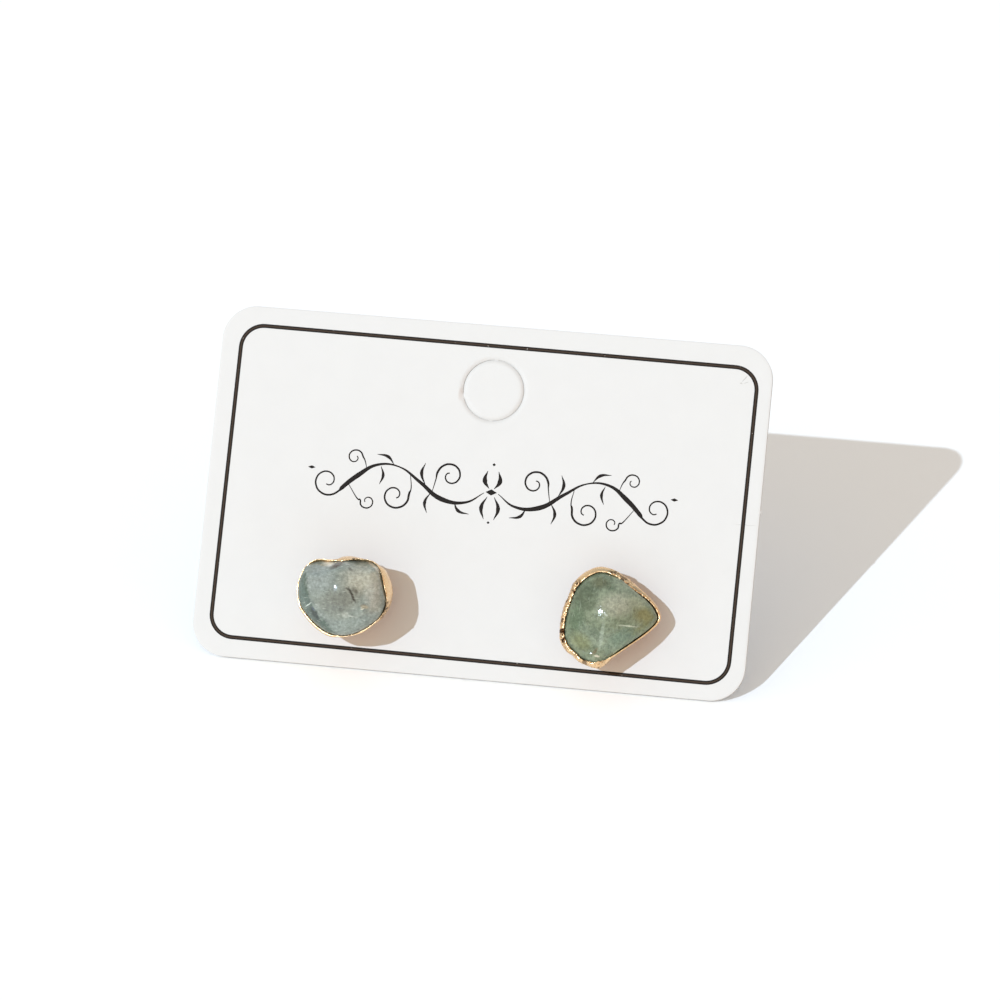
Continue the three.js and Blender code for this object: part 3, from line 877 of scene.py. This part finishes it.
def turned(bm, profile, axis_at, steps, material_index=0):
    """Turns a profile of radius and height about an axis through axis_at."""
    before = set(bm.faces)
    verts = [bm.verts.new(axis_at + Vector((radius, 0.0, height))) for radius, height in profile]
    edges = [bm.edges.new(pair) for pair in zip(verts, verts[1:])]
    bmesh.ops.spin(bm, geom=verts + edges, cent=axis_at, axis=(0.0, 0.0, 1.0),
                   angle=math.tau, steps=steps, use_merge=True, use_duplicate=False)
    faces = [face for face in bm.faces if face not in before]
    around = list({vert for face in faces for vert in face.verts})
    bmesh.ops.remove_doubles(bm, verts=around, dist=0.0005)
    faces = [face for face in bm.faces if face not in before]
    bmesh.ops.recalc_face_normals(bm, faces=faces)
    for face in faces:
        face.material_index = material_index


POST_PROFILE = [(0.0, -9.0), (0.16, -8.985), (0.28, -8.93), (0.36, -8.83), (0.395, -8.70),
                (0.40, -8.55), (0.40, -7.75), (0.385, -7.68), (0.335, -7.60), (0.325, -7.50),
                (0.335, -7.40), (0.385, -7.32), (0.40, -7.25), (0.40, 0.12), (0.43, 0.17),
                (0.50, 0.21), (0.60, 0.24), (0.60, 0.40), (0.0, 0.40)]


def add_post(bm, at):
    """The ear post with its notch, in the second of the setting's materials."""
    turned(bm, POST_PROFILE, at, steps=40, material_index=1)


EAR_BACK_PROFILE = [(0.50, -4.78), (0.56, -4.86), (0.66, -4.90), (1.02, -4.90), (1.22, -4.82),
                    (1.42, -4.62), (1.58, -4.30), (1.64, -3.95), (1.64, -3.62), (1.60, -3.56),
                    (1.60, -3.46), (1.66, -3.40), (1.66, -3.20), (1.60, -3.14), (1.60, -3.04),
                    (1.66, -2.98), (1.66, -2.78), (1.60, -2.72), (1.60, -2.62), (1.66, -2.56),
                    (1.66, -2.30), (1.60, -2.14), (1.46, -1.98), (1.36, -1.84), (1.34, -1.66),
                    (1.40, -1.48), (1.58, -1.32), (1.86, -1.22), (2.20, -1.17), (2.33, -1.12),
                    (2.39, -1.02), (2.40, -0.92), (2.38, -0.80), (2.31, -0.72), (2.18, -0.705),
                    (1.10, -0.76), (0.62, -0.80), (0.53, -0.84), (0.50, -0.92), (0.50, -4.78)]


def ear_back(side, material):
    """A turned bullet clutch with a flange against the card and three grip grooves."""
    bm = bmesh.new()
    turned(bm, EAR_BACK_PROFILE, Vector((POST_X[side], HOLE_HEIGHT, 0.0)), steps=72)
    closed(bm, 0.0005)
    made = piece(bm, f"ear_clutch_{side}", CARD_TO_ROW, [material], sharp=50)
    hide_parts(f"ear_back_{side}")


# Light and floor

# A cool key lamp shines from the front left. The room glows cool from the back right, warm
# from the front left and warmest from the right. A spread is where a glow starts and is whole.
LAMP_TRAVEL = Vector((0.3834, 0.6987, -0.6040))
LAMP_STRENGTH = 2.1
LAMP_COLOUR = (0.865, 1.04, 1.225)
LAMP_SIZE = math.radians(0.5)
COOL_SIDE = Vector((0.45, 0.80, 0.15))
COOL_SPREAD = (-0.7, 0.7)
COOL_GLOW = (0.49, 0.57, 0.655, 1.0)
FRONT_GLOW = (0.92, 0.80, 0.63, 1.0)
WARM_SIDE = Vector((0.80, -0.55, 0.10))
WARM_SPREAD = (0.4, 0.95)
WARM_GLOW = (0.84, 0.55, 0.32, 1.0)
FLOOR_HALF = 2.0


def share_towards(tree, source, side, start, whole):
    """How much of a glow comes from each way: all of it near side, and none far from it."""
    facing = add(tree, "ShaderNodeVectorMath", {"operation": "DOT_PRODUCT"},
                 {1: side.normalized()}, {0: source.outputs["Generated"]})
    share = add(tree, "ShaderNodeMapRange", {"interpolation_type": "SMOOTHSTEP"},
                {"From Min": start, "From Max": whole}, {"Value": facing.outputs["Value"]})
    return share.outputs["Result"]


def add_light():
    sun = bpy.data.objects.new("key_lamp", bpy.data.lights.new("key_lamp", "SUN"))
    sun.data.energy = LAMP_STRENGTH
    sun.data.color = LAMP_COLOUR
    sun.data.angle = LAMP_SIZE
    sun.rotation_euler = LAMP_TRAVEL.to_track_quat("-Z", "Y").to_euler()
    bpy.context.scene.collection.objects.link(sun)
    world = bpy.data.worlds.new("studio")
    bpy.context.scene.world = world
    world.use_nodes = True
    tree = world.node_tree
    source = add(tree, "ShaderNodeTexCoord")
    glow = add(tree, "ShaderNodeMix", {"data_type": "RGBA"}, {6: FRONT_GLOW, 7: COOL_GLOW},
               {0: share_towards(tree, source, COOL_SIDE, *COOL_SPREAD)})
    warmed = add(tree, "ShaderNodeMix", {"data_type": "RGBA"}, {7: WARM_GLOW},
                 {0: share_towards(tree, source, WARM_SIDE, *WARM_SPREAD), 6: glow.outputs[2]})
    tree.links.new(warmed.outputs[2], tree.nodes["Background"].inputs["Color"])
    bpy.context.scene.view_settings.view_transform = "Standard"


def add_floor():
    bm = bmesh.new()
    bmesh.ops.create_grid(bm, x_segments=1, y_segments=1, size=FLOOR_HALF)
    data = bpy.data.meshes.new("floor")
    bm.to_mesh(data)
    bm.free()
    data.materials.append(table_top())
    floor = bpy.data.objects.new("floor", data)
    bpy.context.scene.collection.objects.link(floor)


# Building everything

add_camera()
add_light()
add_floor()

board = coated_board()
core = board_core()
ink = printing_ink("dark_printing_ink", "#130C07")
brown_middle_ink = printing_ink("brown_printing_ink", "#37291D")
gold = plated_gold("gold_plated_copper", "#DE843F", 0.32)
fitting_gold = plated_gold("gold_plated_brass", "#EBC48E", 0.15)

# Milky grey with a paler right side, a dark crack, and pale chips and specks. Painted shade: a
# darker middle, a deep green steep lower left side, a dark notch near the top and a brown line
# down the rolled right edge. A pale patch beside the notch is painted light.
left_stone = raw_stone(
    "milky_grey_quartz", "left", ("#6C746D", "#90988F"),
    clouds=[
        (-2.2, 1.5, 1.9, 1.5, 30, "#8C9490", 0.75),
        # Painted shade: the darker middle, where a facet faces down.
        (-0.1, -0.4, 2.1, 1.3, 20, "#71736A", 0.7),
        (2.1, 1.9, 2.2, 1.6, 0, "#ABA999", 0.8),
        (3.4, 0.4, 0.9, 1.9, 0, "#A09D91", 0.7),
        (1.2, -2.6, 2.2, 0.8, 20, "#8D978F", 0.7),
        # Painted shade: the steep lower left side is drawn deep green all along its edge.
        (4.43, 3.12, 8.1, 8.1, 0, "#4C5C51", 0.9, OUTSIDE),
        (-2.25, -1.92, 1.0, 0.34, 130, "#27302C", 0.85),
        (-3.45, -0.9, 0.6, 0.25, 100, "#6C7B70", 0.6),
        # Painted shade: more of the deep green on the steep lower side.
        (-1.02, -3.05, 0.95, 0.46, -46, "#4C5C51", 0.9),
    ],
    marks=[
        (1.28, 0.27, 1.0, 0.13, -60, "#2C2C29", 0.9),
        (0.85, 0.80, 0.40, 0.15, -20, "#3A3A35", 0.8),
        (1.50, 0.75, 0.50, 0.28, -55, "#56564E", 0.75),
        (2.60, -0.75, 0.45, 0.22, 0, "#98886A", 0.7),
        (2.45, -0.95, 0.22, 0.06, 10, "#D9D4C2", 0.9),
        # Painted light: a pale patch beside the notch, set paler against the shade of the
        # upturned facet there.
        (-1.4, 3.12, 0.65, 0.30, 0, "#DAD7CA", 0.9),
        # Painted shade: the notch near the top is darkened brown.
        (-0.50, 3.10, 0.85, 0.28, 30, "#3F3227", 0.95),
        (0.8, -1.7, 0.45, 0.32, 0, "#AFB4A9", 0.7),
        (0.9, 2.75, 0.35, 0.14, -30, "#6C675E", 0.7),
        (3.1, 3.25, 1.2, 0.14, -35, "#C4BCAB", 0.8),
        # Painted shade: a brown line where the right edge rolls over into a groove.
        (4.35, 1.3, 1.5, 0.12, -82, "#7A6C54", 0.7),
        (-2.95, -1.05, 0.45, 0.07, 38, "#C3CCC2", 0.85),
        (-2.45, -1.4, 0.25, 0.12, -50, "#4B5560", 0.8),
    ],
    streaks=[
        ((1.2, 9.0, 1.0), 60, 0.62, 0.75, "#C6CAC0", 0.5),
    ],
    roughness=0.10, ripple=0.008,
)
# Green with a milky middle, olive towards its right and lower edges, and thin pale veins.
right_stone = raw_stone(
    "green_aventurine", "right", ("#5B6853", "#87917A"),
    clouds=[
        (-2.6, 1.7, 1.9, 1.2, 60, "#4E5A46", 0.85),
        (-1.1, 3.1, 1.1, 0.6, 0, "#585A40", 0.75),
        (0.6, 1.1, 1.9, 1.3, 10, "#9A9B88", 0.85),
        (3.5, 0.3, 1.3, 1.0, -20, "#74704A", 0.85),
        (2.6, 1.6, 1.0, 0.7, -30, "#999D84", 0.7),
        (-3.2, -0.6, 0.9, 1.7, 0, "#566952", 0.8),
        (1.1, 3.0, 1.2, 0.7, -20, "#8E9680", 0.6),
        (1.3, -2.0, 1.7, 0.9, 40, "#687B67", 0.75),
        (-2.5, -2.8, 1.2, 0.9, -30, "#75794F", 0.55),
        (3.3, -1.0, 1.2, 0.4, 35, "#6B6E45", 0.6),
    ],
    marks=[
        (2.0, -0.85, 1.2, 0.09, 0, "#C4C9B6", 0.6),
        (-0.55, -1.9, 1.6, 0.22, 88, "#A2AD9B", 0.5),
        (-1.05, -3.65, 0.5, 0.18, 60, "#6F6147", 0.7),
        (-0.8, -4.05, 0.28, 0.12, 0, "#D6D0BA", 0.8),
        (-0.4, 0.1, 0.35, 0.12, -40, "#CDD4C8", 0.5),
    ],
    streaks=[
        ((6.0, 0.9, 1.0), 4, 0.62, 0.75, "#A9B3A0", 0.35),
        ((3.0, 2.0, 1.0), -35, 0.58, 0.75, "#3E4835", 0.5),
    ],
    roughness=0.11, ripple=0.038,
)

display_card(board, core)
printed_border(ink, brown_middle_ink)
printed_scroll(ink)

stone(
    "left",
    facets=[
        (-2.6, -2.2, 5.1, 218, 52, 0.9),
        (-0.6, 2.9, 5.2, 100, 55, 0.8),
    ],
    dome=(0.27, 0.72, 4.3, 4.5, 3.4),
    dents=[(0.9, 0.012)],
    growth=[(98, 148, 0.20), (60, 104, 0.12), (36, 66, 0.12), (150, 345, 0.06)],
    material=left_stone,
)
stone(
    "right",
    facets=[
        (-2.5, -1.5, 4.6, 220, 26, 0.6),
        (1.3, -1.8, 4.5, 305, 27, 0.6),
        (-2.3, 2.0, 4.5, 140, 24, 0.6),
        (0.5, 2.6, 4.6, 85, 22, 0.6),
        (2.6, 0.8, 4.4, 10, 20, 0.6),
    ],
    dome=(-0.24, 0.18, 4.2, 4.6, 5.2),
    dents=[(0.8, 0.012), (2.2, 0.008)],
    growth=[(8, 74, -0.18), (74, 235, -0.08)],
    material=right_stone,
)

setting(
    "left",
    seam_shade=0.25,
    swells=[(66, 100, 0.30, 4.4), (195, 266, 0.08, 9.0), (8, 40, 0.12, 9.0)],
    fills=[],
    crumbly=[
        (-22, 0, 0.30, 0.16, 1.2, 0.8),
        (69, 78, 0.28, 0.12, 0.5, 1.0),
    ],
    materials=[gold, fitting_gold],
)
setting(
    "right",
    seam_shade=0.5,
    swells=[(82, 150, 0.22, 9.0), (165, 228, 0.14, 9.0), (236, 275, 0.10, 9.0)],
    fills=[(8, 74, 0.30), (74, 235, 0.15)],
    crumbly=[
        (136, 216, 0.32, 0.17, 0.55, 1.0),
        (214, 236, 0.30, 0.12, 0.4, 0.4),
        (232, 268, 0.50, 0.20, 0.9, 0.7),
        (60, 97, 0.38, 0.17, 0.5, 0.9),
        (24, 60, 0.60, 0.12, 0.5, 0.35),
    ],
    materials=[gold, fitting_gold],
)

for side in ("left", "right"):
    ear_back(side, fitting_gold)
